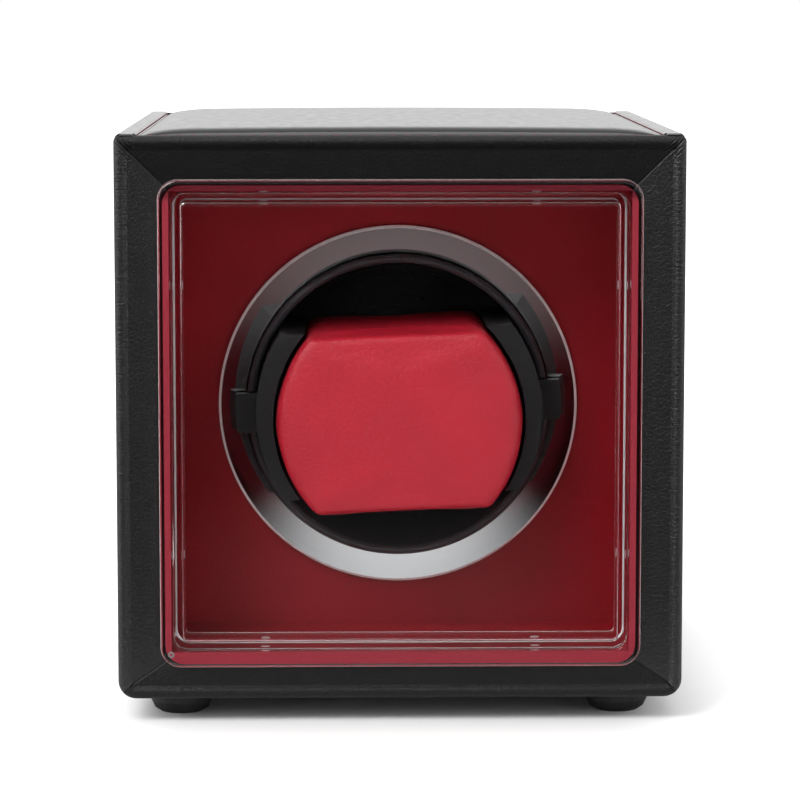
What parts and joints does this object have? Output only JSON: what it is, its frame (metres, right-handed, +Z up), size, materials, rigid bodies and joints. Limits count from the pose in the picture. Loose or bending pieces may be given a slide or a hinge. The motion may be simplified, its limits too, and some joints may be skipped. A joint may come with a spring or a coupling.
{
  "type": "watch winder box",
  "caption": "Leatherette-covered watch winder: box with a clear pull-off front cover, mirror trim ring and a gear-driven cup that turns a removable watch pillow.",
  "frame": {"origin": "middle of the footprint on the plane that the feet stand on", "axes": "+X to the right seen from the front, +Y from the clear cover to the back, +Z up"},
  "size_m": [0.14, 0.153, 0.1475],
  "materials": {
    "black_leatherette": "fine grain, satin",
    "padded_top": "padded leatherette, satin",
    "board": "raw fibreboard",
    "red_leatherette": "pebbled, satin",
    "red_cushion": "pebbled leatherette over foam",
    "mirror_trim": "polished",
    "clear_cover": "clear, polished",
    "black_plastic": "moulded, satin",
    "rocker_plastic": "moulded",
    "gear_plastic": "moulded, natural",
    "steel": "plain",
    "board_laminate": "solder mask",
    "lead_sheath": "smooth",
    "foot_rubber": "moulded"
  },
  "bodies": {
    "case": {"back_panel": "black_plastic", "back_screws": "steel", "bottom_board": "board", "control_board": "board_laminate", "corner_blocks": "board", "feet": "foot_rubber", "frame_rail_bottom": "black_leatherette", "frame_rail_left": "black_leatherette", "frame_rail_right": "black_leatherette", "frame_rail_top": "black_leatherette", "front_plate": "gear_plastic", "gearbox_case": "steel", "inlet_pin": "steel", "liner_bottom": "red_leatherette", "liner_left": "red_leatherette", "liner_right": "red_leatherette", "liner_top": "red_leatherette", "motor_can": "steel", "motor_end_cap": "black_plastic", "motor_lead": "lead_sheath", "motor_screws": "steel", "mount_panel": "red_leatherette", "outer_wrap": "black_leatherette", "plate_posts": "gear_plastic", "plate_spacers": "gear_plastic", "power_inlet": "black_plastic", "rear_plate": "gear_plastic", "rear_trim": "black_leatherette", "rocker_housing": "black_plastic", "selector_switch": "black_plastic", "side_board_left": "board", "side_board_right": "board", "stack_screws": "steel", "top_board": "board", "top_pad": "padded_top", "top_strip_left": "black_leatherette", "top_strip_right": "black_leatherette", "trim_ring": "mirror_trim"},
    "cover": {"front_cover": "clear_cover"},
    "cup": {"drive_cup": "black_plastic", "cup_screw": "steel", "cup_shaft": "steel", "cup_gear": "gear_plastic"},
    "pillow": {"pillow_cushion": "red_cushion", "pillow_core": "black_plastic", "pillow_cap_left": "black_plastic", "pillow_cap_right": "black_plastic"},
    "pinion": {"drive_pinion": "gear_plastic", "output_shaft": "steel"},
    "rocker": {"power_rocker": "rocker_plastic"},
    "knob": {"mode_knob": "black_plastic", "selector_shaft": "steel"}
  },
  "joints": [
    {"name": "cover_pull", "type": "slide", "parent": "case", "child": "cover", "axis": [0, -1, 0], "range_m": [0, 0.1]},
    {"name": "cup_spin", "type": "hinge", "parent": "case", "child": "cup", "pos_m": [0, 0, 0.0751], "axis": [0, 1, 0], "continuous": true},
    {"name": "pillow_pull", "type": "slide", "parent": "cup", "child": "pillow", "axis": [0, -1, 0], "range_m": [0, 0.01]},
    {"name": "pinion_spin", "type": "hinge", "parent": "case", "child": "pinion", "pos_m": [0, 0, 0.1126], "axis": [0, 1, 0], "continuous": true},
    {"name": "rocker_tilt", "type": "hinge", "parent": "case", "child": "rocker", "pos_m": [0, 0.07, 0.036], "axis": [1, 0, 0], "range_deg": [0, 16]},
    {"name": "knob_turn", "type": "hinge", "parent": "case", "child": "knob", "pos_m": [0.02, 0.0735, 0.036], "axis": [0, 1, 0], "range_deg": [0, 90]}
  ],
  "couplings": [
    {"joint": "pinion_spin", "follows": "cup_spin", "ratio": -2.5714}
  ]
}
